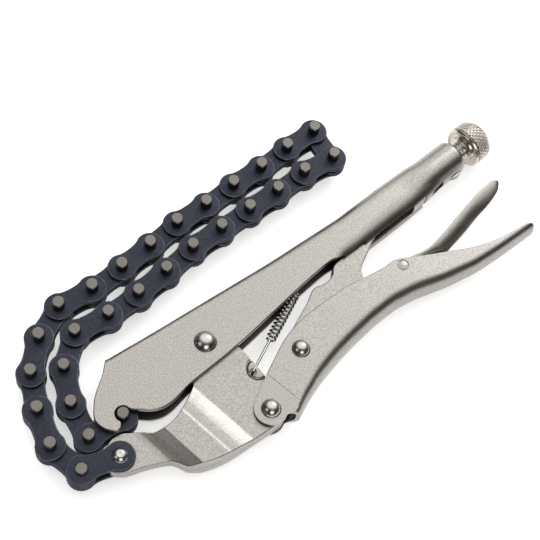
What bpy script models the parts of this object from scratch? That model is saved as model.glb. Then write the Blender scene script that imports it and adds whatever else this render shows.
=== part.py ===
"""Chain clamp: locking pliers with a pivoted jaw, a 29-link chain and a chain hook.

The clamp lies on its side. X runs along the upper handle toward the adjusting knob, Y from the
lower lever toward the chain, Z up. The origin is on the main pivot's axis at the level of the
bench, and everything is symmetric about the mid-plane at MID_Z.
"""
import math

import bmesh
import bpy
import numpy as np

for stale in list(bpy.data.objects):
    bpy.data.objects.remove(stale, do_unlink=True)

# Clearances
FIT = 0.0003            # gap between pieces that touch or turn in each other
OVERRUN = 0.004         # how far a cut runs past the surface that it opens

# Main rivet: the axis of the whole tool
MAIN_HEAD_R = 0.0047
MAIN_SHANK_R = 0.0030
MAIN_HEAD_RISE = 0.0027
DOME_SHARES = ((1.00, 0.00), (1.00, 0.35), (0.85, 0.75), (0.55, 1.00))  # head: radius, rise

# Upper handle: one sheet folded to a channel, with two hooked nose plates
HANDLE_HALF = 0.0070
HANDLE_SHEET = 0.0020
MID_Z = HANDLE_HALF + FIT + MAIN_HEAD_RISE  # the main rivet's lower head rests on the bench
HANDLE_NOSE = 0.0557    # main pivot to the nose's far edge
HANDLE_TAIL = 0.1360    # main pivot to the end of the channel
HANDLE_RISE = 0.0200    # main pivot to the folded corner over the nose
FOLD_R = 0.0030
HANDLE_TOP_SHARES = ((-0.650, 1.000), (-0.180, 0.845), (0.340, 0.570), (0.620, 0.450),
                     (0.800, 0.460), (0.930, 0.450), (1.000, 0.410))
HANDLE_BOTTOM_SHARES = ((1.000, -0.410), (0.940, -0.440), (0.820, -0.460), (0.680, -0.430),
                        (0.600, -0.420), (0.540, -0.340), (0.490, -0.280), (0.420, -0.290),
                        (0.330, -0.330), (0.230, -0.390), (0.060, -0.480), (-0.280, -0.500),
                        (-0.590, -0.520), (-0.650, -0.430), (-0.700, -0.300), (-0.757, -0.165),
                        (-0.866, -0.240), (-0.888, -0.330), (-0.920, -0.355), (-0.966, -0.240),
                        (-0.993, -0.120), (-1.000, 0.105), (-0.937, 0.370), (-0.730, 0.800))
COLLAR_R = 0.0081
COLLAR_LENGTH = 0.0160
HOOK_INSET = 0.0102     # nose's far edge to the seat of the end pin
HOOK_Y = -0.0027        # seat of the end pin, from the main pivot
HOOK_CLEARANCE = 0.0006
LUG_X = 0.0555          # spring lug under the web
LUG_Y = 0.0030
LUG_HALF = 0.0010
LUG_WIDTH = 0.0060

# Jaw: two stampings, flat against each other at the tongue and bulged apart behind it
TONGUE_LEAD = 0.0010    # chain anchor past the handle's nose
TONGUE_Y = -0.0148      # chain anchor, from the main pivot
TONGUE_R = 0.0070
TONGUE_HALF = 0.0028
BULGE_HALF = 0.0069
BODY_HALF = 0.0046
JAW_SHEET = 0.0026
LEVER_PIVOT_X = 0.0016  # lower rivet, from the main pivot
LEVER_PIVOT_Y = -0.0388
JAW_BOSS_R = 0.0085     # jaw round the main pivot
JAW_FOOT_R = 0.0064     # jaw round the lower rivet
BEND_SKEW = math.radians(7)
JAW_UPPER_SHARES = ((-0.955, -0.177), (-0.885, -0.195), (-0.830, -0.252), (-0.767, -0.330),
                    (-0.710, -0.415), (-0.620, -0.450), (-0.530, -0.440), (-0.430, -0.392),
                    (-0.360, -0.345), (-0.255, -0.245), (-0.170, -0.080))
JAW_LOWER_SHARES = ((-0.165, -1.140), (-0.310, -1.110), (-0.440, -1.078), (-0.545, -1.030),
                    (-0.640, -0.965), (-0.695, -0.905), (-0.720, -0.830), (-0.745, -0.768),
                    (-0.792, -0.720), (-0.900, -0.640))
JAW_BACK_SHARES = ((0.160, -0.840), (0.165, -0.700), (0.190, -0.590), (0.178, -0.230))
BEND_SHARES = (-0.765, -0.690, -0.420, -0.270)      # bend lines along the jaw, of the anchor's reach
POCKET_R = 0.0050
POCKET_DEPTH = 0.0012
SPRING_HOLE_X = 0.0072  # spring hole in the jaw, from the main pivot
SPRING_HOLE_Y = -0.0218
SPRING_HOLE_R = 0.0016

# Lower lever: a channel that narrows toward its tip
LEVER_HALF = 0.0069
LEVER_TIP_HALF = 0.0042
LEVER_SHEET = 0.0017
LEVER_LENGTH = 0.1508   # lower rivet to tip
LEVER_RISE = 0.0214     # lower rivet to the highest point of the inner edge
LEVER_END_R = 0.0070
LEVER_END_POINTS = 10
LEVER_INNER_SHARES = ((0.056, 0.570), (0.111, 0.738), (0.150, 0.855), (0.197, 0.948),
                      (0.281, 1.000), (0.339, 0.986), (0.414, 0.953), (0.473, 0.870),
                      (0.543, 0.790), (0.582, 0.771), (0.601, 0.720), (0.627, 0.607),
                      (0.723, 0.234), (0.779, 0.019), (0.857, -0.196), (0.950, -0.332),
                      (0.988, -0.383), (1.000, -0.460), (0.997, -0.560), (0.985, -0.612))
LEVER_OUTER_SHARES = ((0.940, -0.542), (0.865, -0.509), (0.766, -0.435), (0.666, -0.276),
                      (0.570, -0.060), (0.499, 0.037), (0.412, 0.047), (0.326, 0.005),
                      (0.259, -0.051), (0.174, -0.164), (0.099, -0.322), (0.060, -0.430),
                      (0.045, -0.350))
LEVER_RIVET_HEAD_R = 0.0042
LEVER_RIVET_SHANK_R = 0.0026
LEVER_RIVET_RISE = 0.0024

# Toggle link: from the lever to the tip of the adjusting screw
LINK_PIVOT_X = 0.0272   # link rivet, from the lower rivet
LINK_PIVOT_Y = 0.0115
LINK_LENGTH = 0.0727    # link rivet to screw seat, along X
LINK_RISE = 0.0273      # link rivet to screw seat, along Y
LINK_HALF = 0.0034
LINK_END_R = 0.0072
LINK_TIP_R = 0.0033
LINK_UPPER_SHARES = ((0.945, 1.085), (0.860, 1.010), (0.740, 0.880), (0.640, 0.780),
                     (0.510, 0.705), (0.490, 0.655), (0.455, 0.655), (0.435, 0.600),
                     (0.385, 0.600), (0.360, 0.640), (0.230, 0.520), (0.100, 0.390))
LINK_LOWER_SHARES = ((0.150, -0.215), (0.300, -0.110), (0.440, 0.030), (0.560, 0.170),
                     (0.615, 0.280), (0.640, 0.400), (0.690, 0.490), (0.765, 0.580),
                     (0.835, 0.675), (0.930, 0.770), (1.030, 0.880))
LINK_RIVET_HEAD_R = 0.0040
LINK_RIVET_SHANK_R = 0.0024
LINK_RIVET_RISE = 0.0024

# Release lever: a small channel inside the lever, with its finger end free
RELEASE_PIVOT_X = 0.0889    # release rivet, from the lower rivet
RELEASE_PIVOT_Y = 0.0123
RELEASE_LENGTH = 0.0655
RELEASE_DEPTH = 0.0060
RELEASE_HALF = 0.0027
RELEASE_SHEET = 0.0012
RELEASE_TOP_SHARES = ((0.980, 0.900), (0.930, 0.900), (0.840, 0.860), (0.700, 0.640),
                      (0.540, 0.340), (0.380, 0.050), (0.240, -0.080), (0.110, 0.230))
RELEASE_BOTTOM_SHARES = ((-0.030, -0.600), (0.180, -0.640), (0.320, -1.080), (0.430, -0.950),
                         (0.570, -0.740), (0.720, -0.440), (0.870, -0.220), (0.970, 0.060),
                         (1.000, 0.450))
RELEASE_NOSE_SHARES = ((-0.120, 0.420), (-0.165, 0.250), (-0.150, -0.150), (-0.090, -0.450))
RELEASE_HEAD_R = 0.0026
RELEASE_SHANK_R = 0.0015
RELEASE_HEAD_RISE = 0.00015

# Adjusting screw and its knurled knob
SCREW_R = 0.00475
SCREW_TIP_SHARE = 0.6
SCREW_SEAT = 0.0014     # screw tip to toggle link at rest
KNOB_R = 0.0097
KNOB_LENGTH = 0.0112
KNOB_STANDOFF = 0.0048  # handle collar to knob
KNOB_CHAMFER = 0.0012
KNOB_NECK_R = 0.0060
KNOB_NECK = 0.0012

# Return spring: a tension coil from the jaw to the lug in the handle
WIRE_R = 0.0006
COIL_R = 0.0018
COIL_TURNS = 13
COIL_POINTS = 10
COIL_START_X = 0.0233
COIL_START_Y = -0.0149
COIL_END_X = 0.0470
COIL_END_Y = -0.0055
LEAD_SHARES = (0.06, 0.12)  # bend over the jaw and over the lug, of the way to the coil

# Chain: 5/8 inch pitch, outer and inner links in turn
PITCH = 0.015875
PLATE_R = 0.0064
WAIST_HALF = 0.0047
PIN_R = 0.00255
PIN_HALF = 0.0095
PIN_CHAMFER = 0.0004
INNER_IN = 0.0006       # mid-plane to an inner plate
PLATE_T = 0.0013
BUSH_WALL = 0.0010
ANCHOR_HEAD_R = 0.0032
ANCHOR_HEAD_RISE = 0.0017
ANCHOR_SHANK_R = 0.0020
FIRST_PIN_HALF = 0.0062
CHAIN_HEADINGS = (161, 101, 71, 62, 41, 22, -8, 0, 2, 4, -3, 0, -3, 1, -3, -99,
                  171, 179, 177, 178, 178, 185, 183, 179, 172, 216, 242)
LINK_COUNT = len(CHAIN_HEADINGS) + 2

# Facets
SHANK_SIDES = 12
HEAD_SIDES = 20
PIN_SIDES = 10
END_POINTS = 6

STEEL = ("satin_steel", (0.62, 0.59, 0.55, 1.0), 1.0, 0.42)
POLISHED = ("polished_rivet", (0.70, 0.68, 0.65, 1.0), 1.0, 0.22)
BLACK_CHAIN = ("chain_oxide", (0.045, 0.048, 0.065, 1.0), 0.8, 0.45)
SPRING_BLACK = ("spring_black", (0.03, 0.03, 0.03, 1.0), 0.6, 0.35)
KNOB_STEEL = ("knob_steel", (0.55, 0.53, 0.49, 1.0), 1.0, 0.35)


def finish(name, colour, metallic, roughness):
    """Give back the material of this name, made once."""
    mat = bpy.data.materials.get(name)
    if mat is None:
        mat = bpy.data.materials.new(name)
        mat.use_nodes = True
        shader = mat.node_tree.nodes["Principled BSDF"]
        shader.inputs["Base Color"].default_value = colour
        shader.inputs["Metallic"].default_value = metallic
        shader.inputs["Roughness"].default_value = roughness
    return mat


def new_object(name, bm, look=None):
    """Turn a bmesh into an object; without a look it is a cutter."""
    bmesh.ops.recalc_face_normals(bm, faces=bm.faces)
    mesh = bpy.data.meshes.new(name)
    bm.to_mesh(mesh)
    bm.free()
    ob = bpy.data.objects.new(name, mesh)
    bpy.context.scene.collection.objects.link(ob)
    if look is None:
        ob.hide_render = True
        ob.display_type = "WIRE"
    else:
        mesh.materials.append(finish(*look))
    return ob


def prism(name, points, low, high, look=None, folds=(), fold_r=0.0):
    """Extrude a plan outline from low to high, rounding the rims of the edges in folds."""
    bm = bmesh.new()
    floor = [bm.verts.new((x, y, low)) for x, y in points]
    roof = [bm.verts.new((x, y, high)) for x, y in points]
    count = len(points)
    bm.faces.new(floor[::-1])
    bm.faces.new(roof)
    for i in range(count):
        j = (i + 1) % count
        bm.faces.new((floor[i], floor[j], roof[j], roof[i]))
    if folds:
        rims = []
        for i in folds:
            j = (i + 1) % count
            rims.append(bm.edges.get((floor[i], floor[j])))
            rims.append(bm.edges.get((roof[i], roof[j])))
        bmesh.ops.bevel(bm, geom=rims, offset=fold_r, segments=3, profile=0.5,
                        affect="EDGES", offset_type="OFFSET")
    return new_object(name, bm, look)


def turned(name, profile, centre, axis="Z", sides=HEAD_SIDES, look=None):
    """Turn (radius, height) points about an axis through centre; ends are closed flat."""
    bm = bmesh.new()
    rings = []
    for radius, height in profile:
        ring = []
        for k in range(sides):
            a = 2 * math.pi * (k + 0.5) / sides
            u, v = radius * math.cos(a), radius * math.sin(a)
            place = (u, v, height) if axis == "Z" else (height, u, v)
            ring.append(bm.verts.new([c + p for c, p in zip(centre, place)]))
        rings.append(ring)
    for a, b in zip(rings, rings[1:]):
        for k in range(sides):
            m = (k + 1) % sides
            bm.faces.new((a[k], a[m], b[m], b[k]))
    bm.faces.new(rings[0])
    bm.faces.new(rings[-1])
    ob = new_object(name, bm, look)
    if look is not None:
        ob.data.shade_smooth()
        ob.data.set_sharp_from_angle(angle=math.radians(35))
    return ob


def post(name, centre, radius, half, sides=SHANK_SIDES):
    """A cutter: a cylinder through the mid-plane, at least as wide as radius at its flats."""
    wide = radius / math.cos(math.pi / sides)
    return turned(name, ((wide, -half), (wide, half)), (*centre, MID_Z), sides=sides)


def combine(ob, tool, operation="DIFFERENCE"):
    """Cut or join a tool into an object, and hide the tool."""
    mod = ob.modifiers.new(tool.name, "BOOLEAN")
    mod.operation = operation
    mod.object = tool
    tool.hide_render = True
    tool.display_type = "WIRE"


def baked(ob):
    """Give back the evaluated mesh of an object, free of its modifiers."""
    deps = bpy.context.evaluated_depsgraph_get()
    return bpy.data.meshes.new_from_object(ob.evaluated_get(deps))


def arc(centre, radius, start, stop, count):
    """Points on an arc, from start to stop in degrees."""
    angles = np.radians(np.linspace(start, stop, count))
    return [(centre[0] + radius * math.cos(a), centre[1] + radius * math.sin(a))
            for a in angles]


def inset_line(points, distance):
    """Move an open line of points sideways, to its right, by distance."""
    pts = np.array(points)
    steps = np.diff(pts, axis=0)
    normals = np.stack((steps[:, 1], -steps[:, 0]), axis=1)
    normals /= np.linalg.norm(normals, axis=1)[:, None]
    joint = np.vstack((normals[:1], normals[:-1] + normals[1:], normals[-1:]))
    joint /= np.linalg.norm(joint, axis=1)[:, None]
    lead = np.vstack((normals, normals[-1:]))
    reach = distance / np.sum(joint * lead, axis=1)
    return [tuple(p) for p in pts + joint * reach[:, None]]


def scaled(shares, origin, length, width, nose=None):
    """Outline points from shares: X by length (by nose behind the origin), Y by width."""
    return [(origin[0] + sx * (nose if nose and sx < 0 else length), origin[1] + sy * width)
            for sx, sy in shares]


# Pivots
TONGUE_REACH = HANDLE_NOSE + TONGUE_LEAD
A = (0.0, 0.0)
B = (LEVER_PIVOT_X, LEVER_PIVOT_Y)
C = (B[0] + LINK_PIVOT_X, B[1] + LINK_PIVOT_Y)
D = (B[0] + RELEASE_PIVOT_X, B[1] + RELEASE_PIVOT_Y)
TIP = (C[0] + LINK_LENGTH, C[1] + LINK_RISE)
ANCHOR = (-TONGUE_REACH, TONGUE_Y)
HOOK = (HOOK_INSET - HANDLE_NOSE, HOOK_Y)


def upper_handle():
    """Folded channel, open along its lower edge, with a tail collar and a spring lug."""
    top = scaled(HANDLE_TOP_SHARES, A, HANDLE_TAIL, HANDLE_RISE, HANDLE_NOSE)
    bottom = scaled(HANDLE_BOTTOM_SHARES, A, HANDLE_TAIL, HANDLE_RISE, HANDLE_NOSE)
    outline = (top + bottom)[::-1]
    count = len(outline)
    folds = [count - 1 - i for i in range(1, len(top))]
    body = prism("upper_handle", outline, MID_Z - HANDLE_HALF, MID_Z + HANDLE_HALF, STEEL,
                 folds, FOLD_R)
    line = inset_line(top, HANDLE_SHEET)
    slope = (line[1][1] - line[0][1]) / (line[1][0] - line[0][0])
    far = -HANDLE_NOSE - OVERRUN
    start = (far, line[0][1] + slope * (far - line[0][0]))
    end_x = line[-1][0] - HANDLE_SHEET
    line[-1] = (end_x, line[-1][1])
    low = -HANDLE_RISE
    hollow = [start] + line[1:] + [(end_x, low), (far, low)]
    inner = HANDLE_HALF - HANDLE_SHEET
    cavity = prism("handle_hollow", hollow[::-1], MID_Z - inner, MID_Z + inner)
    combine(body, cavity)
    collar = turned("handle_collar", ((COLLAR_R - HANDLE_SHEET, 0), (COLLAR_R, HANDLE_SHEET),
                                      (COLLAR_R, COLLAR_LENGTH),
                                      (COLLAR_R - FOLD_R / 2, COLLAR_LENGTH + FOLD_R / 2)),
                    (HANDLE_TAIL - HANDLE_SHEET, 0, MID_Z), "X")
    combine(body, collar, "UNION")
    lug_top = HANDLE_RISE * HANDLE_TOP_SHARES[3][1]
    lug = prism("handle_lug", [(LUG_X - LUG_WIDTH / 2, LUG_Y - LUG_WIDTH / 2),
                               (LUG_X + LUG_WIDTH / 2, LUG_Y - LUG_WIDTH / 2),
                               (LUG_X + LUG_WIDTH / 2, lug_top), (LUG_X - LUG_WIDTH / 2, lug_top)],
                MID_Z - LUG_HALF, MID_Z + LUG_HALF)
    combine(body, lug, "UNION")
    combine(body, post("lug_hole", (LUG_X, LUG_Y), WIRE_R + 2 * FIT, HANDLE_SHEET, PIN_SIDES))
    bore_r = (SCREW_R + FIT) / math.cos(math.pi / HEAD_SIDES)
    bore = turned("screw_bore", ((bore_r, -OVERRUN), (bore_r, COLLAR_LENGTH + OVERRUN)),
                  (HANDLE_TAIL - HANDLE_SHEET, 0, MID_Z), "X")
    combine(body, bore)
    combine(body, post("main_hole", A, MAIN_SHANK_R + FIT, HANDLE_HALF + OVERRUN))
    seat_r = PIN_R + HOOK_CLEARANCE
    slot = arc(HOOK, seat_r, 0, 180, 9)
    slot += [(HOOK[0] - seat_r, -HANDLE_RISE), (HOOK[0] + seat_r, -HANDLE_RISE)]
    combine(body, prism("hook_slot", slot, MID_Z - HANDLE_HALF - OVERRUN,
                        MID_Z + HANDLE_HALF + OVERRUN))
    return body


def skewed(point):
    """Turn a plan point about the main pivot by the slant of the jaw's bend lines."""
    c, s = math.cos(BEND_SKEW), math.sin(BEND_SKEW)
    return (point[0] * c - point[1] * s, point[0] * s + point[1] * c)


def ribbon(name, heights, reach, side):
    """A bent slab: (x, half height) stations, mirrored about the mid-plane, run along Y."""
    bm = bmesh.new()
    rows = []
    for y in (-reach, side):
        over = [bm.verts.new((*skewed((x, y)), MID_Z + h)) for x, h in heights]
        under = [bm.verts.new((*skewed((x, y)), MID_Z - h)) for x, h in heights[::-1]]
        rows.append(over + under)
    near, away = rows
    count = len(near)
    bm.faces.new(near)
    bm.faces.new(away[::-1])
    for i in range(count):
        j = (i + 1) % count
        bm.faces.new((near[i], away[i], away[j], near[j]))
    return new_object(name, bm)


def clamp_jaw():
    """Two bent stampings joined at the tongue, open between them from there on."""
    reach = TONGUE_REACH
    depth = -LEVER_PIVOT_Y
    upper = scaled(JAW_UPPER_SHARES, A, reach, depth)
    lower = scaled(JAW_LOWER_SHARES, A, reach, depth)
    back = [(JAW_BOSS_R + sx * JAW_BOSS_R, sy * depth) for sx, sy in JAW_BACK_SHARES]
    outline = (arc(ANCHOR, TONGUE_R, 235, 100, END_POINTS) + upper
               + arc(A, JAW_BOSS_R, 160, -10, 10) + back[::-1]
               + arc(B, JAW_FOOT_R, 10, -100, END_POINTS) + lower)
    half = BULGE_HALF + OVERRUN
    jaw = prism("clamp_jaw", outline[::-1], MID_Z - half, MID_Z + half, STEEL)
    bends = [share * reach for share in BEND_SHARES]
    turn = JAW_SHEET / 3
    far = -2 * reach
    near = reach
    outer = [(far, TONGUE_HALF), (bends[0] - turn, TONGUE_HALF),
             (bends[0] + turn, TONGUE_HALF + turn / 2), (bends[1] - turn, BULGE_HALF - turn / 2),
             (bends[1] + turn, BULGE_HALF), (bends[2] - turn, BULGE_HALF),
             (bends[2] + turn, BULGE_HALF - turn / 4), (bends[3] - turn, BODY_HALF + turn / 4),
             (bends[3] + turn, BODY_HALF), (near, BODY_HALF)]
    combine(jaw, ribbon("jaw_envelope", outer, 2 * depth, depth), "INTERSECT")
    inner = [(bends[0] + 2 * JAW_SHEET, FIT), (bends[1] + turn, BULGE_HALF - JAW_SHEET),
             (bends[2] - turn, BULGE_HALF - JAW_SHEET), (bends[3], BODY_HALF - JAW_SHEET),
             (near, BODY_HALF - JAW_SHEET)]
    combine(jaw, ribbon("jaw_hollow", inner, 2 * depth, depth))
    combine(jaw, post("jaw_main_hole", A, MAIN_SHANK_R + FIT, half))
    combine(jaw, post("jaw_lever_hole", B, LEVER_RIVET_SHANK_R + FIT, half))
    combine(jaw, post("jaw_anchor_hole", ANCHOR, ANCHOR_SHANK_R + FIT, half))
    pocket_x = back[2][0]
    for sign in (-1, 1):
        floor = MID_Z + sign * (BODY_HALF - POCKET_DEPTH)
        rim = MID_Z + sign * (BODY_HALF + OVERRUN)
        combine(jaw, prism("jaw_pocket_%d" % (sign + 1),
                           arc((pocket_x, SPRING_HOLE_Y), POCKET_R, 0, 340, 18),
                           min(floor, rim), max(floor, rim)))
    combine(jaw, post("spring_hole", (SPRING_HOLE_X, SPRING_HOLE_Y), SPRING_HOLE_R, half, PIN_SIDES))
    return jaw


def lever_half_at(x):
    """Half width of the lower lever at a place along X."""
    return LEVER_HALF - (LEVER_HALF - LEVER_TIP_HALF) * (x - B[0]) / LEVER_LENGTH


def lower_lever():
    """Channel that tapers from the lower rivet to its tip, web along the outer edge."""
    inner = scaled(LEVER_INNER_SHARES, B, LEVER_LENGTH, LEVER_RISE)
    outer = scaled(LEVER_OUTER_SHARES, B, LEVER_LENGTH, LEVER_RISE)
    outline = (arc(B, LEVER_END_R, 300, 110, LEVER_END_POINTS) + inner + outer)[::-1]
    count = len(outline)
    folds = [count - 1 - i for i in range(LEVER_END_POINTS + len(inner), count - 2)]

    def tapered(name, points, sheet, look=None):
        ob = prism(name, points, -1, 1, look)
        for vert in ob.data.vertices:
            vert.co.z = MID_Z + vert.co.z * (lever_half_at(vert.co.x) - sheet)
        return ob

    lever = tapered("lower_lever", outline, 0, STEEL)
    bm = bmesh.new()
    bm.from_mesh(lever.data)
    bm.verts.ensure_lookup_table()
    rims = []
    for i in folds:
        j = (i + 1) % count
        rims.append(bm.edges.get((bm.verts[i], bm.verts[j])))
        rims.append(bm.edges.get((bm.verts[count + i], bm.verts[count + j])))
    bmesh.ops.bevel(bm, geom=rims, offset=FOLD_R / 2, segments=2, profile=0.5,
                    affect="EDGES", offset_type="OFFSET")
    bm.to_mesh(lever.data)
    bm.free()
    web = [p for p in inner[-3:]] + outer[:-1]
    line = inset_line(web, LEVER_SHEET)
    over = B[1] + LEVER_RISE + OVERRUN
    start = B[0] - LEVER_END_R - OVERRUN
    low = outer[-2][1] - OVERRUN
    hollow = [(start, low), (start, over), (line[0][0], over)] + line + [(line[-1][0], low)]
    combine(lever, tapered("lever_hollow", hollow[::-1], LEVER_SHEET))
    combine(lever, post("lever_hole", B, LEVER_RIVET_SHANK_R + FIT, LEVER_HALF + OVERRUN))
    combine(lever, post("lever_link_hole", C, LINK_RIVET_SHANK_R + FIT, LEVER_HALF + OVERRUN))
    combine(lever, post("lever_release_hole", D, RELEASE_SHANK_R + FIT, LEVER_HALF + OVERRUN))
    return lever


def toggle_link():
    """Flat strut with a round end on the link rivet and a round tip against the screw."""
    upper = scaled(LINK_UPPER_SHARES, C, LINK_LENGTH, LINK_RISE)
    lower = scaled(LINK_LOWER_SHARES, C, LINK_LENGTH, LINK_RISE)
    outline = (arc(C, LINK_END_R, 115, 295, 9) + lower + arc(TIP, LINK_TIP_R, -40, 110, 7) + upper)
    link = prism("toggle_link", outline, MID_Z - LINK_HALF, MID_Z + LINK_HALF, STEEL)
    combine(link, post("link_hole", C, LINK_RIVET_SHANK_R + FIT, LINK_HALF + OVERRUN))
    return link


def release_lever():
    """Small folded lever: closed along its finger side, open below."""
    top = scaled(RELEASE_TOP_SHARES, D, RELEASE_LENGTH, RELEASE_DEPTH)
    bottom = scaled(RELEASE_BOTTOM_SHARES, D, RELEASE_LENGTH, RELEASE_DEPTH)
    nose = scaled(RELEASE_NOSE_SHARES, D, RELEASE_LENGTH, RELEASE_DEPTH)
    outline = nose + bottom + top
    body = prism("release_lever", outline, MID_Z - RELEASE_HALF, MID_Z + RELEASE_HALF, STEEL)
    line = inset_line(top[::-1], RELEASE_SHEET)
    low = D[1] - 2 * RELEASE_DEPTH
    hollow = [(line[1][0], low)] + [(line[-1][0], low)] + line[:0:-1]
    inner = RELEASE_HALF - RELEASE_SHEET
    combine(body, prism("release_hollow", hollow, MID_Z - inner, MID_Z + inner))
    combine(body, post("release_hole", D, RELEASE_SHANK_R + FIT, RELEASE_HALF + OVERRUN))
    return body


def rivet(name, centre, shank, head, seat, rise):
    """Shank through plates whose faces lie seat from the mid-plane, domed on both sides."""
    under = seat + FIT
    upper = [(shank, under)] + [(head * r, under + rise * h) for r, h in DOME_SHARES]
    lower = [(r, -h) for r, h in upper[::-1]]
    return turned(name, lower + upper, (*centre, MID_Z), look=POLISHED)


def adjusting_screw():
    """Shank from the toggle link's tip to the knob."""
    tip = TIP[0] + LINK_TIP_R + SCREW_SEAT
    end = HANDLE_TAIL - HANDLE_SHEET + COLLAR_LENGTH + FOLD_R / 2 + KNOB_STANDOFF - FIT
    profile = ((SCREW_R * SCREW_TIP_SHARE, tip), (SCREW_R, tip + SCREW_R / 2), (SCREW_R, end))
    return turned("adjusting_screw", profile, (0, 0, MID_Z), "X", 16, STEEL)


def adjusting_knob():
    """Knurled knob at the end of the screw, with a short neck."""
    start = HANDLE_TAIL - HANDLE_SHEET + COLLAR_LENGTH + FOLD_R / 2 + KNOB_STANDOFF
    end = start + KNOB_NECK + KNOB_LENGTH
    rim = start + KNOB_NECK
    profile = ((KNOB_NECK_R, start), (KNOB_NECK_R, rim), (KNOB_R - KNOB_CHAMFER, rim),
               (KNOB_R, rim + KNOB_CHAMFER), (KNOB_R, end - KNOB_CHAMFER),
               (KNOB_R - KNOB_CHAMFER, end))
    return turned("adjusting_knob", profile, (0, 0, MID_Z), "X", 24, KNOB_STEEL)


def return_spring():
    """One wire: hook in the jaw's hole, coil along the mid-plane, hook in the handle's lug."""
    start = np.array((COIL_START_X, COIL_START_Y, MID_Z))
    stop = np.array((COIL_END_X, COIL_END_Y, MID_Z))
    along = stop - start
    side = np.array((-along[1], along[0], 0)) / np.linalg.norm(along)
    up = np.array((0, 0, 1.0))
    steps = COIL_TURNS * COIL_POINTS
    t = np.arange(steps + 1) / steps
    phase = 2 * np.pi * COIL_TURNS * t
    coil = (start + along * t[:, None] + COIL_R * np.sin(phase)[:, None] * side
            + COIL_R * np.cos(phase)[:, None] * up)
    jaw_over = BODY_HALF - POCKET_DEPTH + WIRE_R + FIT
    hole = np.array((SPRING_HOLE_X, SPRING_HOLE_Y, MID_Z))
    jaw_end = [hole + up * (BODY_HALF - JAW_SHEET - WIRE_R),
               hole + up * (jaw_over - WIRE_R), hole + up * jaw_over + (start - hole) * LEAD_SHARES[0]]
    lug = np.array((LUG_X, LUG_Y, MID_Z))
    lug_over = LUG_HALF + 2 * WIRE_R + FIT
    lug_end = [lug + up * lug_over + (stop - lug) * LEAD_SHARES[1], lug + up * (lug_over - WIRE_R),
               lug - up * (LUG_HALF + 2 * WIRE_R)]
    points = np.vstack((jaw_end, coil, lug_end))
    curve = bpy.data.curves.new("return_spring", "CURVE")
    curve.dimensions = "3D"
    curve.bevel_depth = WIRE_R
    curve.bevel_resolution = 1
    curve.use_fill_caps = True
    spline = curve.splines.new("POLY")
    spline.points.add(len(points) - 1)
    for point, place in zip(spline.points, points):
        point.co = (*place, 1.0)
    tube = bpy.data.objects.new("spring_path", curve)
    bpy.context.scene.collection.objects.link(tube)
    mesh = baked(tube)
    bpy.data.objects.remove(tube, do_unlink=True)
    mesh.name = "return_spring"
    mesh.materials.clear()
    mesh.materials.append(finish(*SPRING_BLACK))
    mesh.shade_smooth()
    spring = bpy.data.objects.new("return_spring", mesh)
    bpy.context.scene.collection.objects.link(spring)
    gaps = [np.linalg.norm(coil[i] - coil[i + COIL_POINTS]) - 2 * WIRE_R
            for i in range(len(coil) - COIL_POINTS)]
    print("return_spring: least gap between its turns %.2f mm" % (1000 * min(gaps)))
    return spring


def chain_places():
    """Pin places: by heading from the anchor, and the last two so that the end pin is hooked."""
    places = [np.array(ANCHOR)]
    for heading in CHAIN_HEADINGS:
        a = math.radians(heading)
        places.append(places[-1] + PITCH * np.array((math.cos(a), math.sin(a))))
    hook = np.array(HOOK)
    span = hook - places[-1]
    half = np.linalg.norm(span) / 2
    side = np.array((span[1], -span[0])) / np.linalg.norm(span)
    places.append(places[-1] + span / 2 + side * math.sqrt(PITCH ** 2 - half ** 2))
    places.append(hook)
    return places


def plate_outline():
    """Figure-eight plate along +X, with its pin places at 0 and PITCH."""
    right = arc((PITCH, 0), PLATE_R, -125, 125, END_POINTS + 1)
    left = arc((0, 0), PLATE_R, 55, 305, END_POINTS + 1)
    middle = PITCH / 2
    return right + [(middle, WAIST_HALF)] + left + [(middle, -WAIST_HALF)]


def plates(name, low, high):
    """Two plates mirrored about z = 0, each as an object."""
    outline = plate_outline()
    return (prism(name + "_over", outline, low, high), prism(name + "_under", outline, -high, -low))


def pin(name, x, half):
    """A chain pin through the mid-plane, its ends chamfered."""
    profile = ((PIN_R - PIN_CHAMFER, -half), (PIN_R, PIN_CHAMFER - half),
               (PIN_R, half - PIN_CHAMFER), (PIN_R - PIN_CHAMFER, half))
    return turned(name, profile, (x, 0, 0), sides=PIN_SIDES)


def merged(name, first, others, cuts=()):
    """Join objects into one mesh, cut others from it, and clear them away."""
    for other in others:
        combine(first, other, "UNION")
    for other in cuts:
        combine(first, other)
    mesh = baked(first)
    mesh.name = name
    mesh.materials.clear()
    mesh.materials.append(finish(*BLACK_CHAIN))
    for ob in (first, *others, *cuts):
        bpy.data.objects.remove(ob, do_unlink=True)
    return mesh


def bore(name, x, radius, half):
    """A cutter for a round hole in a chain plate, at least as wide as radius at its flats."""
    wide = radius / math.cos(math.pi / PIN_SIDES)
    return turned(name, ((wide, -half), (wide, half)), (x, 0, 0), sides=PIN_SIDES)


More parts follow.
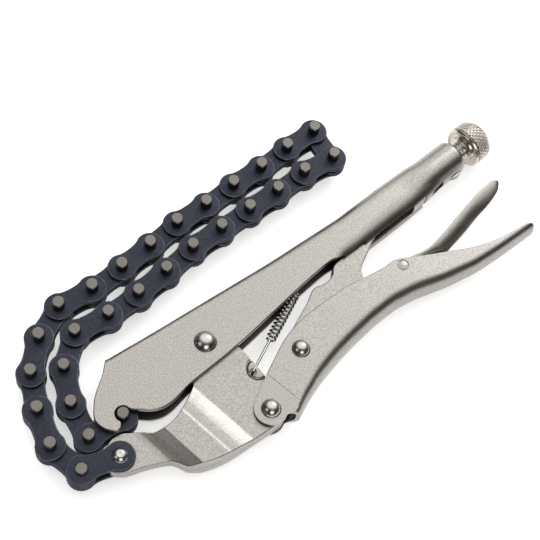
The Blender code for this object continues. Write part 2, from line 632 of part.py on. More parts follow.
def chain_meshes():
    """Outer link, inner link and the wide first link, each about its first pin."""
    inner_out = INNER_IN + PLATE_T
    outer_in = inner_out + FIT
    over, under = plates("outer", outer_in, outer_in + PLATE_T)
    outer = merged("chain_outer", over, (pin("pin_a", 0, PIN_HALF), pin("pin_b", PITCH, PIN_HALF),
                                         under))
    over, under = plates("inner", INNER_IN, inner_out)
    hollow_r = PIN_R + FIT
    bush_r = hollow_r + BUSH_WALL
    bushes = [turned("bush", ((bush_r, -inner_out), (bush_r, inner_out)), (x, 0, 0),
                     sides=SHANK_SIDES) for x in (0, PITCH)]
    bores = [bore("bush_bore", x, hollow_r, inner_out + OVERRUN) for x in (0, PITCH)]
    inner = merged("chain_inner", over, (*bushes, under), bores)
    wide_in = TONGUE_HALF + FIT
    over, under = plates("first", wide_in, wide_in + PLATE_T)
    anchor = bore("anchor_bore", 0, ANCHOR_SHANK_R + FIT, PIN_HALF)
    first = merged("chain_first", over, (pin("pin_first", PITCH, FIRST_PIN_HALF), under), (anchor,))
    return outer, inner, first


def chain(carrier):
    """Links in turn from the anchor: each one's origin is the pin that it turns on."""
    outer, inner, first = chain_meshes()
    places = chain_places()
    for i in range(LINK_COUNT):
        here, there = places[i], places[i + 1]
        mesh = first if i == 0 else (outer if i % 2 == 0 else inner)
        link = bpy.data.objects.new("chain_link_%02d" % (i + 1), mesh)
        link.location = (*here, MID_Z)
        link.rotation_euler = (0, 0, math.atan2(there[1] - here[1], there[0] - here[0]))
        bpy.context.scene.collection.objects.link(link)
        carry(carrier, link)
        carrier = link


def carry(carrier, *pieces):
    """Let pieces ride on a carrier, each where it is, with the cutters that shape them."""
    bpy.context.view_layer.update()
    inverse = carrier.matrix_world.inverted()
    for piece in pieces:
        for rider in (piece, *(mod.object for mod in piece.modifiers)):
            rider.parent = carrier
            rider.matrix_parent_inverse = inverse
    bpy.context.view_layer.update()


def axis_empty(name, place, carrier=None):
    """An empty on a joint's axis, at the height of the mid-plane."""
    axis = bpy.data.objects.new(name, None)
    axis.location = (*place, MID_Z)
    axis.empty_display_size = MAIN_HEAD_R
    bpy.context.scene.collection.objects.link(axis)
    if carrier is not None:
        carry(carrier, axis)
    return axis


upper_handle()
rivet("main_rivet", A, MAIN_SHANK_R, MAIN_HEAD_R, HANDLE_HALF, MAIN_HEAD_RISE)

jaw_axis = axis_empty("jaw_axis", A)
carry(jaw_axis, clamp_jaw(), return_spring(),
      rivet("lever_rivet", B, LEVER_RIVET_SHANK_R, LEVER_RIVET_HEAD_R,
            lever_half_at(B[0] - LEVER_RIVET_HEAD_R), LEVER_RIVET_RISE),
      rivet("chain_anchor_rivet", ANCHOR, ANCHOR_SHANK_R, ANCHOR_HEAD_R,
            TONGUE_HALF + FIT + PLATE_T, ANCHOR_HEAD_RISE))

lever_axis = axis_empty("lever_axis", B, jaw_axis)
carry(lever_axis, lower_lever(),
      rivet("link_rivet", C, LINK_RIVET_SHANK_R, LINK_RIVET_HEAD_R,
            lever_half_at(C[0] - LINK_RIVET_HEAD_R), LINK_RIVET_RISE),
      rivet("release_rivet", D, RELEASE_SHANK_R, RELEASE_HEAD_R,
            lever_half_at(D[0] - RELEASE_HEAD_R), RELEASE_HEAD_RISE))
carry(axis_empty("toggle_axis", C, lever_axis), toggle_link())
carry(axis_empty("release_axis", D, lever_axis), release_lever())

screw_axis = axis_empty("screw_axis", TIP)
carry(screw_axis, adjusting_screw(), adjusting_knob())

chain(jaw_axis)
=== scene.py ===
"""Looks of a locking chain clamp that lies on its side on a pale bench."""

import bmesh
import bpy
import numpy as np
from mathutils import Matrix


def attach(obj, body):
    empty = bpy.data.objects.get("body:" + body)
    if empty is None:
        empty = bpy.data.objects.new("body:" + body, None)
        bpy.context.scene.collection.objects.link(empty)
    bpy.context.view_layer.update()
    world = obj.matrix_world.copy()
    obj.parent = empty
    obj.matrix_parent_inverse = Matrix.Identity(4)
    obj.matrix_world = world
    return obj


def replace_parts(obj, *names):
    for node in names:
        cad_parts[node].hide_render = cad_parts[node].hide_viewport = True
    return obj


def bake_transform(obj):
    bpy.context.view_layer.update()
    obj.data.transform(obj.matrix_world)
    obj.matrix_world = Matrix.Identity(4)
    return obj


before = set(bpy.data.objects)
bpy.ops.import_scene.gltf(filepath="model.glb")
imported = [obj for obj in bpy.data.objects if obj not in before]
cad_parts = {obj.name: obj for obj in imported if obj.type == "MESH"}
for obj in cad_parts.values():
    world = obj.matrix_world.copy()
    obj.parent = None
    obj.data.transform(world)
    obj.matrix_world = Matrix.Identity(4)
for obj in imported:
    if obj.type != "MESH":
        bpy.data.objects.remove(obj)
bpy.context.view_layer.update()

# Camera. It looks down on the clamp from the jaw's side, a little tilted and turned about its
# own line of sight, from about half a metre.
CAMERA_PLACE = (-0.157203, -0.132288, 0.488118)
CAMERA_RIGHT = (0.736842, -0.666219, 0.114960)
CAMERA_UP = (0.561268, 0.697610, 0.445329)
CAMERA_BACK = (-0.376883, -0.263614, 0.887956)
CAMERA_LENS = 83.333

camera = bpy.data.objects.new("camera", bpy.data.cameras.new("camera"))
camera.data.lens = CAMERA_LENS
camera.data.sensor_width = 36
camera.data.clip_start = 0.01
camera.data.clip_end = 20
turn = Matrix((CAMERA_RIGHT, CAMERA_UP, CAMERA_BACK)).transposed().to_4x4()
camera.matrix_world = Matrix.Translation(CAMERA_PLACE) @ turn
bpy.context.scene.collection.objects.link(camera)
bpy.context.scene.camera = camera
bpy.context.scene.view_settings.view_transform = "Standard"

# Bench and light. A matt white bench top in a dim room, whose ceiling has one wide soft bright
# patch beyond the knob that the flat faces mirror. One soft lamp stands low on the knob's side, a
# wide one behind the camera, and a weak one beyond the chain lights the slope to the tongue.
BENCH_HALF = 3.0
BENCH_WHITE = (0.93, 0.93, 0.93, 1)
BENCH_GLOW = 0.55
PATCH_AIM = (0.45, 0.35, 0.82)
PATCH_STOPS = ((0.00, (0.045, 0.040, 0.035)), (0.32, (0.050, 0.045, 0.040)),
               (0.54, (0.110, 0.100, 0.090)), (0.67, (0.640, 0.625, 0.610)),
               (0.78, (1.550, 1.535, 1.510)), (1.00, (1.700, 1.685, 1.660)))
LAMP_DISTANCE = 1.5

bench_mesh = bpy.data.meshes.new("bench")
bench_mesh.from_pydata([(-BENCH_HALF, -BENCH_HALF, 0), (BENCH_HALF, -BENCH_HALF, 0),
                        (BENCH_HALF, BENCH_HALF, 0), (-BENCH_HALF, BENCH_HALF, 0)],
                       [], [(0, 1, 2, 3)])
bench = bpy.data.objects.new("bench", bench_mesh)
bpy.context.scene.collection.objects.link(bench)
bench_paint = bpy.data.materials.new("bench_paint")
bench_paint.use_nodes = True
bench_shader = bench_paint.node_tree.nodes["Principled BSDF"]
bench_shader.inputs["Base Color"].default_value = BENCH_WHITE
bench_shader.inputs["Roughness"].default_value = 0.9
bench_shader.inputs["Emission Color"].default_value = (1, 1, 1, 1)
bench_shader.inputs["Emission Strength"].default_value = BENCH_GLOW
bench_mesh.materials.append(bench_paint)

room = bpy.data.worlds.new("room")
bpy.context.scene.world = room
room.use_nodes = True
tree = room.node_tree
sky_places = tree.nodes.new("ShaderNodeTexCoord")
sky_aim = tree.nodes.new("ShaderNodeVectorMath")
sky_aim.operation = "DOT_PRODUCT"
sky_aim.inputs[1].default_value = np.array(PATCH_AIM) / np.linalg.norm(PATCH_AIM)
sky_ramp = tree.nodes.new("ShaderNodeValToRGB")
tree.links.new(sky_places.outputs["Generated"], sky_aim.inputs[0])
tree.links.new(sky_aim.outputs["Value"], sky_ramp.inputs["Fac"])
tree.links.new(sky_ramp.outputs["Color"], tree.nodes["Background"].inputs["Color"])
stops = sky_ramp.color_ramp.elements
while len(stops) < len(PATCH_STOPS):
    stops.new(0.5)
for stop, (place, colour) in zip(stops, PATCH_STOPS):
    stop.position = place
    stop.color = (*colour, 1)


def soft_lamp(name, towards, width, power):
    """A square lamp of this width, that stands this way from the clamp and faces it."""
    lamp = bpy.data.lights.new(name, "AREA")
    lamp.size = width
    lamp.energy = power
    holder = bpy.data.objects.new(name, lamp)
    bpy.context.scene.collection.objects.link(holder)
    way = np.array(towards, float)
    way /= np.linalg.norm(way)
    side = np.cross((0, 0, 1), way)
    side /= np.linalg.norm(side)
    facing = Matrix(np.column_stack((side, np.cross(way, side), way)).tolist()).to_4x4()
    holder.matrix_world = Matrix.Translation((way * LAMP_DISTANCE).tolist()) @ facing


soft_lamp("far_lamp", (0.76, 0.20, 0.60), width=0.60, power=3.6)
soft_lamp("near_lamp", (-0.40, -0.70, 0.60), width=0.75, power=4.6)
soft_lamp("side_lamp", (-0.75, 0.27, 0.60), width=0.60, power=1.5)

# Upper handle. One nickel-plated steel sheet folded to a channel: two hooked nose plates, a tail
# whose lower lips curl in to a slit, and a round collar drawn at its end for the screw.
MID = 0.0100              # mid-plane of the whole tool above the bench
HAIR = 0.00001            # for square cutter edges, and between faces that must not coincide
WELD = 0.000004           # points closer than this are one
CREASE = np.radians(38)   # edges sharper than this stay sharp in the shading
CUT_ROUND = 0.00055       # rounding of a stamped edge
HANDLE_HALF = 0.0070
HANDLE_SHEET = 0.0020
MAIN_BORE_R = 0.0033
NOSE = 0.0557             # from the main rivet's axis to the hook's tip
TAIL = 0.1360             # from the main rivet's axis to the end of the measured tail
RISE = 0.0200             # from the main rivet's axis to the nose's top line
HOOK = (-0.0455, -0.0027)
HOOK_R = 0.00315
HANDLE_TOP = ((-0.650, 1.000), (-0.180, 0.845), (0.340, 0.570), (0.620, 0.450),
              (0.800, 0.460), (0.930, 0.430), (1.000, 0.380))
HANDLE_THROAT = ((0.540, -0.340), (0.490, -0.280), (0.420, -0.290),
                 (0.330, -0.330), (0.230, -0.390), (0.060, -0.480), (-0.280, -0.500),
                 (-0.590, -0.520), (-0.650, -0.430), (-0.700, -0.300), (-0.752, -0.165))
HANDLE_HOOK = ((-0.866, -0.240), (-0.888, -0.320), (-0.920, -0.355), (-0.966, -0.250),
               (-0.993, -0.120), (-1.000, 0.105), (-0.937, 0.370), (-0.730, 0.800))
HANDLE_BLANK = ((-0.650, 1.25), (1.03, 1.25), (1.03, -1.0), (0.54, -1.0))
TAIL_LOW = ((0.37, -0.80), (0.485, -0.50), (0.540, -0.42), (0.60, -0.45), (0.82, -0.46),
            (0.94, -0.44), (1.00, -0.39))
FOLD_FROM = -0.066        # first and last place along X in the tables of the fold
FOLD_TO = 0.142
# Pairs of a place along X and the fold's rounding, its spread or the hollow's lower side there.
HIGH_ROUNDS = ((FOLD_FROM, 0.0028), (0.000, 0.0030), (0.060, 0.0046), (0.100, 0.0060),
               (FOLD_TO, 0.0064))
LOW_ROUNDS = ((FOLD_FROM, 0.0030), (0.052, 0.0034), (0.074, 0.0046), (0.092, 0.0052),
              (FOLD_TO, 0.0056))
LOW_SPREADS = ((FOLD_FROM, 1.00), (0.052, 1.00), (0.080, 1.45), (0.110, 1.60), (FOLD_TO, 1.30))
HOLLOW_LOWS = ((FOLD_FROM, -0.0300), (0.062, -0.0300), (0.086, -0.0077), (FOLD_TO, -0.0064))
HOLLOW_ROUND = 0.0016     # the hollow's lower rounding, and what its upper one lacks of the outer


def shaded(mesh):
    """Smooth shading, broken at the creases."""
    mesh.shade_smooth()
    mesh.set_sharp_from_angle(angle=CREASE)


def joined(name, parts, finishes):
    """One object from (points, faces, finish number or numbers) parts, each turned to face
    outward: the sum of the volumes under a part's faces tells which way round it is."""
    points, faces, numbers, start = [], [], [], 0
    for places, loops, number in parts:
        fans = np.array([(loop[0], loop[i], loop[i + 1]) for loop in loops
                         for i in range(1, len(loop) - 1)])
        a, b, c = places[fans[:, 0]], places[fans[:, 1]], places[fans[:, 2]]
        outward = np.sum(np.cross(a, b) * c) > 0
        faces += [[start + k for k in (loop if outward else loop[::-1])] for loop in loops]
        numbers += np.broadcast_to(number, len(loops)).tolist()
        points.append(places)
        start += len(places)
    mesh = bpy.data.meshes.new(name)
    mesh.from_pydata(np.vstack(points).tolist(), [], faces)
    mesh.polygons.foreach_set("material_index", numbers)
    for finish in finishes:
        mesh.materials.append(finish)
    shaded(mesh)
    ob = bpy.data.objects.new(name, mesh)
    bpy.context.scene.collection.objects.link(ob)
    return ob


def skin(rings):
    """A closed surface over rings of points, all in the first finish: four-sided faces between
    neighbouring rings, and one flat face over the first and the last ring."""
    rows, columns = rings.shape[:2]
    here = np.arange(rows * columns).reshape(rows, columns)
    there = np.roll(here, -1, axis=1)
    quads = np.stack((here[:-1], there[:-1], there[1:], here[1:]), axis=-1).reshape(-1, 4)
    faces = quads.tolist() + [here[0][::-1].tolist(), here[-1].tolist()]
    return rings.reshape(-1, 3), faces, 0


def arc(centre, radius, start, stop, count):
    """Points on a circle about the centre, from start to stop in degrees."""
    angle = np.radians(np.linspace(start, stop, count))
    return list(zip(centre[0] + radius * np.cos(angle), centre[1] + radius * np.sin(angle)))


def placed(shares, origin, length, width, behind=None):
    """Plan points from shares: X by the length, or by the length behind the origin, Y by width."""
    return [(origin[0] + x * (behind if behind and x < 0 else length), origin[1] + y * width)
            for x, y in shares]


def handle_plan(shares):
    """Plan points of the handle: X by the tail or the nose, Y by the rise."""
    return placed(shares, (0, 0), TAIL, RISE, NOSE)


def cut_line(points, corners=(), step=0.0007):
    """A closed plan line through the measured points: between two points it is a cubic. Its
    direction at each point is the mean of the two chords' directions, each weighted by the other
    chord's length, and is broken at the corner points."""
    points = np.array(points, float)
    after = np.roll(points, -1, axis=0)
    length = np.linalg.norm(after - points, axis=1)
    ahead = (after - points) / length[:, None]
    back = np.roll(ahead, 1, axis=0)
    mean = back * length[:, None] + ahead * np.roll(length, 1)[:, None]
    mean /= np.linalg.norm(mean, axis=1)[:, None]
    leave, arrive = mean.copy(), mean.copy()
    leave[list(corners)] = ahead[list(corners)]
    arrive[list(corners)] = back[list(corners)]
    counts = np.maximum(np.ceil(length / step).astype(int), 2)
    leg = np.repeat(np.arange(len(points)), counts)
    t = ((np.arange(len(leg)) - (np.cumsum(counts) - counts)[leg]) / counts[leg])[:, None]
    out = leave[leg] * length[leg][:, None]
    into = np.roll(arrive, -1, axis=0)[leg] * length[leg][:, None]
    return ((2 * t**3 - 3 * t**2 + 1) * points[leg] + (t**3 - 2 * t**2 + t) * out
            + (3 * t**2 - 2 * t**3) * after[leg] + (t**3 - t**2) * into)


def sideways(line):
    """Unit normals of a closed plan line, pointing out of it."""
    run = np.roll(line, -1, axis=0) - np.roll(line, 1, axis=0)
    run /= np.linalg.norm(run, axis=1)[:, None]
    x, y = line[:, 0], line[:, 1]
    turn_sign = np.sign(np.sum(x * np.roll(y, -1) - y * np.roll(x, -1)))
    return turn_sign * np.stack((run[:, 1], -run[:, 0]), axis=1)


def stamping(line, low, high, rounding=CUT_ROUND, rows=4):
    """A flat stamping: its plan line carried round a quarter circle at both faces, so that the
    line is inset by rounding x (1 - sin angle) where it has sunk by rounding x (1 - cos angle)."""
    angle = np.linspace(0, np.pi / 2, rows)[:, None]
    plan = line[None] - sideways(line)[None] * (rounding * (1 - np.sin(angle)))[:, :, None]
    drop = rounding * (1 - np.cos(angle)) * np.ones((1, len(line)))
    top = np.dstack((plan, high(plan[..., 0]) - drop))
    under = np.dstack((plan, low(plan[..., 0]) + drop))
    return skin(np.concatenate((top, under[::-1])))


def level(height):
    """A face at one height."""
    return lambda x: np.full_like(x, height)


def folded(x, low, high, half, low_round, high_round, spread=1.0, steps=11, far_round=None):
    """A tube along X whose section at each station is a rectangle with four rounded corners:
    low to high in Y, half to each side of the mid-plane, its own rounding below and above. A
    quarter ellipse, spread times longer in Y than in Z, rounds the lower corners; the far one
    can have a rounding of its own."""
    angle = np.linspace(0, np.pi / 2, steps)
    if far_round is None:
        far_round = low_round
    rings = []
    for sign_y, sign_z, limit, deep in ((1, 1, high, high_round), (1, -1, high, high_round),
                                        (-1, -1, low, far_round), (-1, 1, low, low_round)):
        turn_way = np.pi / 2 - (angle if sign_y * sign_z > 0 else angle[::-1])
        wide = deep * (spread if sign_y < 0 else 1.0)
        y = (limit - sign_y * wide)[:, None] + sign_y * wide[:, None] * np.cos(turn_way)
        z = MID + sign_z * ((half - deep)[:, None] + deep[:, None] * np.sin(turn_way))
        rings.append(np.dstack((np.broadcast_to(x[:, None], y.shape), y, z)))
    return skin(np.concatenate(rings, axis=1))


def eased(x, table, reach, count=1200):
    """Values at x between the (place, value) pairs of a table, with its corners eased: the
    straight lines between the pairs are averaged under a bell-shaped window of this reach."""
    places, values = np.array(table, float).T
    fine = np.linspace(places[0] - reach, places[-1] + reach, count)
    window = np.hanning(max(3, int(count * reach / (fine[-1] - fine[0]))))
    raw = np.pad(np.interp(fine, places, values), len(window), "edge")
    soft = np.convolve(raw, window / window.sum(), "same")[len(window):-len(window)]
    return np.interp(x, fine, soft)


def turned(profile, centre, axis="Z", sides=64):
    """A turned shape: (radius, height) points carried round an axis through the centre."""
    radius, height = np.array(profile, float).T
    angle = 2 * np.pi * np.arange(sides) / sides
    u, v = radius[:, None] * np.cos(angle), radius[:, None] * np.sin(angle)
    w = np.broadcast_to(height[:, None], u.shape)
    ring = np.dstack((u, v, w)) if axis == "Z" else np.dstack((w, u, v))
    return skin(ring + np.array(centre))


def bore(radius, place, low=-0.01, high=0.01, sides=32):
    """The cut for a round hole at a plan place, between two heights from the mid-plane."""
    return "DIFFERENCE", turned([(radius, low), (radius, high)], (*place, MID), sides=sides)


def carved(ob, *steps):
    """Cut, join or keep the overlap with other parts in turn, and leave one plain mesh."""
    tools = []
    for operation, part in steps:
        tool = joined(ob.name + "_tool", [part], [])
        tools.append(tool)
        mod = ob.modifiers.new(tool.name, "BOOLEAN")
        mod.operation = operation
        mod.object = tool
    deps = bpy.context.evaluated_depsgraph_get()
    mesh = bpy.data.meshes.new_from_object(ob.evaluated_get(deps))
    ob.modifiers.clear()
    ob.data = mesh
    for tool in tools:
        bpy.data.objects.remove(tool, do_unlink=True)
    bm = bmesh.new()
    bm.from_mesh(mesh)
    bmesh.ops.remove_doubles(bm, verts=bm.verts, dist=WELD)
    bm.to_mesh(mesh)
    bm.free()
    shaded(mesh)


def even_shading(ob):
    """Let the large flats decide the shading of the rounded rims beside them."""
    mod = ob.modifiers.new("even", "WEIGHTED_NORMAL")
    mod.keep_sharp = True
    mod.weight = 80


def metal(name, colour, rough, grain_size, grain_depth, speckle, rough_swing=0.06, metallic=1.0):
    """Metal with a fine blasted grain: noise of one grain's size tints it and lifts it, and a
    broad noise lets its roughness drift."""
    mat = bpy.data.materials.new(name)
    mat.use_nodes = True
    nodes, links = mat.node_tree.nodes, mat.node_tree.links
    shader = nodes["Principled BSDF"]
    shader.inputs["Metallic"].default_value = metallic
    places = nodes.new("ShaderNodeTexCoord")
    grain = nodes.new("ShaderNodeTexNoise")
    grain.inputs["Scale"].default_value = 1 / grain_size
    grain.inputs["Detail"].default_value = 3
    grain.inputs["Roughness"].default_value = 0.6
    links.new(places.outputs["Object"], grain.inputs["Vector"])
    tint = nodes.new("ShaderNodeValToRGB")
    tint.color_ramp.elements[0].position = 0.30
    tint.color_ramp.elements[1].position = 0.70
    tint.color_ramp.elements[0].color = (*[c * (1 - speckle) for c in colour], 1)
    tint.color_ramp.elements[1].color = (*[min(1, c * (1 + speckle)) for c in colour], 1)
    links.new(grain.outputs["Fac"], tint.inputs["Fac"])
    links.new(tint.outputs["Color"], shader.inputs["Base Color"])
    drift = nodes.new("ShaderNodeTexNoise")
    drift.inputs["Scale"].default_value = 0.06 / grain_size
    drift.inputs["Detail"].default_value = 2
    links.new(places.outputs["Object"], drift.inputs["Vector"])
    span = nodes.new("ShaderNodeMapRange")
    span.inputs["To Min"].default_value = rough - rough_swing
    span.inputs["To Max"].default_value = rough + rough_swing
    links.new(drift.outputs["Fac"], span.inputs["Value"])
    links.new(span.outputs["Result"], shader.inputs["Roughness"])
    bump = nodes.new("ShaderNodeBump")
    bump.inputs["Strength"].default_value = 0.6
    bump.inputs["Distance"].default_value = grain_depth
    links.new(grain.outputs["Fac"], bump.inputs["Height"])
    links.new(bump.outputs["Normal"], shader.inputs["Normal"])
    return mat


satin_nickel = metal("satin_nickel", (0.325, 0.312, 0.292), 0.32, 0.00055, 0.00004, 0.32)

blank = handle_plan(HANDLE_BLANK)
throat = handle_plan(HANDLE_THROAT)
handle_points = (blank + throat + arc(HOOK, HOOK_R, 0, 180, 9) + handle_plan(HANDLE_HOOK)
                 + handle_plan([HANDLE_TOP[0]]))
throat_end = len(blank) + len(throat) - 1
last = len(handle_points) - 1
handle_line = cut_line(handle_points, corners=(0, 1, 2, 3, 4, throat_end, last - 1, last))
upper_handle = joined("upper_handle_folded", [
    stamping(handle_line, level(MID - HANDLE_HALF), level(MID + HANDLE_HALF))], [satin_nickel])

stations = np.linspace(-0.062, 0.138, 260)
top = handle_plan(HANDLE_TOP)
top_slope = (top[1][1] - top[0][1]) / (top[1][0] - top[0][0])
top_start = top[0][1] + top_slope * (FOLD_FROM - top[1][0])
fold_high = eased(stations, [(FOLD_FROM, top_start), *top, (FOLD_TO, 0.0074)], 0.010)
fold_low = eased(stations, [(FOLD_FROM, -0.030), *handle_plan(TAIL_LOW), (FOLD_TO, -0.0076)], 0.006)
high_round = eased(stations, HIGH_ROUNDS, 0.02)
low_round = eased(stations, LOW_ROUNDS, 0.01)
low_spread = eased(stations, LOW_SPREADS, 0.01)
outer_half = np.full_like(stations, HANDLE_HALF + HAIR)
inner_half = outer_half - HANDLE_SHEET
open_low = eased(stations, HOLLOW_LOWS, 0.006)
inner_stations = np.linspace(-0.064, 0.132, 240)


def at(values):
    """The values of the outer stations at the stations of the hollow."""
    return np.interp(inner_stations, stations, values)


SLIT_FROM = 0.0640
SLIT_TO = 0.1245
SLIT_TOP = -0.0040
SLIT_HALF = 0.00375
# The far lip's corners: height over the tail's lower line, and place from the mid-plane.
FAR_LIP = ((0.0014, -0.00378), (0.0000, -0.0061), (0.0012, -0.0066), (0.0026, -0.0046))
OUTSIDE = -0.0200         # a plan line well clear of the tail's lower edge
NOTCH_LINE = ((0.1290, OUTSIDE), (0.1362, OUTSIDE), (0.1362, -0.0060), (0.1350, -0.0054),
              (0.1305, -0.0054), (0.1290, -0.0062))
NOTCH_LOW = -0.0018
NOTCH_HIGH = 0.0030
SEAM_TAB = ((0.1415, -0.0066), (0.1415, -0.0082), (0.1421, -0.0087), (0.1472, -0.0087),
            (0.1480, -0.0082), (0.1480, -0.0066))
SEAM_TAB_HALF = 0.0011
COLLAR_R = 0.0081
COLLAR_START = 0.1160
COLLAR_FULL = 0.1350
COLLAR_END = 0.1515
COLLAR_LIP = 0.0026
COLLAR_RINGS = 60
SCREW_BORE_R = 0.00505
lip_angle = np.linspace(0, np.pi / 2, 10)
collar_x = np.concatenate((np.linspace(COLLAR_START, COLLAR_END - COLLAR_LIP, COLLAR_RINGS)[:-1],
                           COLLAR_END - COLLAR_LIP * (1 - np.sin(lip_angle))))
roundness = np.clip((collar_x - COLLAR_START) / (COLLAR_FULL - COLLAR_START), 0, 1)
roundness = 3 * roundness**2 - 2 * roundness**3
collar_r = COLLAR_R - np.concatenate((np.zeros(COLLAR_RINGS - 1),
                                      COLLAR_LIP * 0.8 * (1 - np.cos(lip_angle))))


def toward_round(values, sign=1):
    """The handle's own section values at the start, and the collar's radius where it is full."""
    own = np.interp(collar_x, stations, values) - sign * 2 * HAIR
    return (1 - roundness) * own + roundness * sign * collar_r


collar = folded(collar_x, toward_round(fold_low, -1), toward_round(fold_high),
                toward_round(outer_half), toward_round(low_round), toward_round(high_round),
                (1 - roundness) * np.interp(collar_x, stations, low_spread) + roundness, steps=14)
seam_tab = stamping(cut_line(SEAM_TAB, corners=(0, 1, 5)),
                    level(MID - SEAM_TAB_HALF), level(MID + SEAM_TAB_HALF), 0.0003)
slit = stamping(np.array([(SLIT_FROM, OUTSIDE), (SLIT_TO, OUTSIDE), (SLIT_TO, SLIT_TOP),
                          (SLIT_FROM, SLIT_TOP)]),
                level(MID - SLIT_HALF), level(MID + SLIT_HALF), HAIR, 2)
lip_rise, lip_depth = np.array(FAR_LIP).T[:, None]
lip_x = np.linspace(0.0860, 0.1243, 40)
lip_y = np.interp(lip_x, stations, fold_low)[:, None] + lip_rise
far_lip = skin(np.dstack((np.broadcast_to(lip_x[:, None], lip_y.shape), lip_y,
                          np.broadcast_to(MID + lip_depth, lip_y.shape))))
notch = stamping(cut_line(NOTCH_LINE, corners=(0, 1, 2, 5)),
                 level(MID + NOTCH_LOW), level(MID + NOTCH_HIGH), HAIR, 2)
carved(upper_handle,
       ("INTERSECT", folded(stations, fold_low, fold_high, outer_half, low_round, high_round, low_spread)),
       ("DIFFERENCE", folded(inner_stations, at(open_low), at(fold_high) - HANDLE_SHEET,
                             at(inner_half), np.full_like(inner_stations, HOLLOW_ROUND),
                             at(high_round) - HOLLOW_ROUND)),
       ("DIFFERENCE", slit), ("UNION", far_lip),
       ("UNION", collar), ("UNION", seam_tab),
       ("DIFFERENCE", notch),
       ("DIFFERENCE", turned([(SCREW_BORE_R, 0.118), (SCREW_BORE_R, 0.160)], (0, 0, MID), "X")),
       bore(MAIN_BORE_R, (0, 0), -0.02, 0.02, sides=64))
even_shading(upper_handle)
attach(upper_handle, "handle")
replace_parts(upper_handle, "upper_handle")

# Rivets. Polished steel rivets, domed on both sides; the release rivet is ground nearly flush
# and plated like the lever, and the chain's anchor rivet keeps the dimple of the riveting tool.
LOWER_PIVOT = (0.0016, -0.0388)
LINK_PIVOT = (0.0288, -0.0273)
RELEASE_PIVOT = (0.0905, -0.0265)
ANCHOR = (-0.0567, -0.0148)
LEVER_LENGTH = 0.1508
LEVER_HALF = 0.0069
LEVER_TIP_HALF = 0.0042
RIVET_LIP = 0.00012
DIMPLE_REACH = 0.42       # a dimple's radius as a share of the head's

polished_steel = metal("polished_steel", (0.46, 0.45, 0.435), 0.23, 0.0009, 0.000006, 0.03, 0.03)


def lever_half(x):
    """Half width of the lower lever at a place along X."""
    return LEVER_HALF - (LEVER_HALF - LEVER_TIP_HALF) * (x - LOWER_PIVOT[0]) / LEVER_LENGTH


def rivet(name, body, centre, shank, head, seat, rise, dimple=0.0, finish=polished_steel):
    """A shank with a dome on both ends. Each dome is the cap of a ball of radius (head squared +
    cap squared) / (2 x cap), on a low upright lip, and a dimple sinks its middle as a squared
    parabola."""
    cap = rise - RIVET_LIP
    ball = (head**2 + cap**2) / (2 * cap)
    angle = np.linspace(np.arcsin(min(1, head / ball)), 0, 20)[:-1]
    radius = ball * np.sin(angle)
    height = seat + RIVET_LIP + cap - ball * (1 - np.cos(angle))
    height = height - dimple * np.clip(1 - (radius / (DIMPLE_REACH * head))**2, 0, 1)**2
    side = [(shank, seat), (head * 0.985, seat)]
    upper = side + list(zip(radius, height)) + [(head * 0.02, seat + rise - dimple)]
    lower = [(r, -h) for r, h in upper[::-1]]
    ob = joined(name, [turned(lower + upper, (*centre, MID), sides=64)], [finish])
    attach(ob, body)
    return ob


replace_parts(rivet("main_rivet_domed", "handle", (0, 0), shank=0.0030, head=0.0048,
                  seat=0.00702, rise=0.00298), "main_rivet")
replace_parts(rivet("lever_rivet_domed", "jaw", LOWER_PIVOT, shank=0.0026, head=0.0042,
                  seat=0.00650, rise=0.0031), "lever_rivet")
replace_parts(rivet("link_rivet_domed", "lever", LINK_PIVOT, shank=0.0024, head=0.0040,
                  seat=lever_half(LINK_PIVOT[0]) + 2 * HAIR, rise=0.0029), "link_rivet")
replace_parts(rivet("release_rivet_flush", "lever", RELEASE_PIVOT, shank=0.0015, head=0.0023,
                  seat=lever_half(RELEASE_PIVOT[0]) - 0.0004, rise=0.0005,
                  finish=satin_nickel), "release_rivet")
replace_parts(rivet("chain_anchor_rivet_domed", "jaw", ANCHOR, shank=0.0020, head=0.0033,
                  seat=0.00442, rise=0.0020, dimple=0.0004), "chain_anchor_rivet")

# Clamp jaw. Two thick nickel-plated stampings, mirror images that meet at the mid-plane and step
# down to the tongue that carries the chain; a round recess in each seats the spring's hook.
JAW_REACH = 0.0567
JAW_DEPTH = 0.0388
JAW_BLANK = 0.0100
JAW_BOSS_R = 0.0085
LOWER_BOSS_R = 0.0064
TONGUE_R = 0.0070
LEVER_BORE_R = 0.0029
ANCHOR_BORE_R = 0.0023
SPRING_HOLE_R = 0.0016
JAW_SKEW = np.radians(7)
JAW_UPPER = ((-0.955, -0.177), (-0.885, -0.195), (-0.830, -0.252), (-0.767, -0.330),
             (-0.710, -0.415), (-0.620, -0.450), (-0.530, -0.440), (-0.430, -0.392),
             (-0.360, -0.345), (-0.255, -0.245), (-0.170, -0.080))
JAW_LOWER = ((-0.165, -1.140), (-0.310, -1.110), (-0.440, -1.078), (-0.545, -1.030),
             (-0.640, -0.965), (-0.695, -0.905), (-0.720, -0.830), (-0.745, -0.768),
             (-0.792, -0.720), (-0.900, -0.640))
JAW_BACK = ((0.160, -0.840), (0.165, -0.700), (0.190, -0.590), (0.178, -0.230))
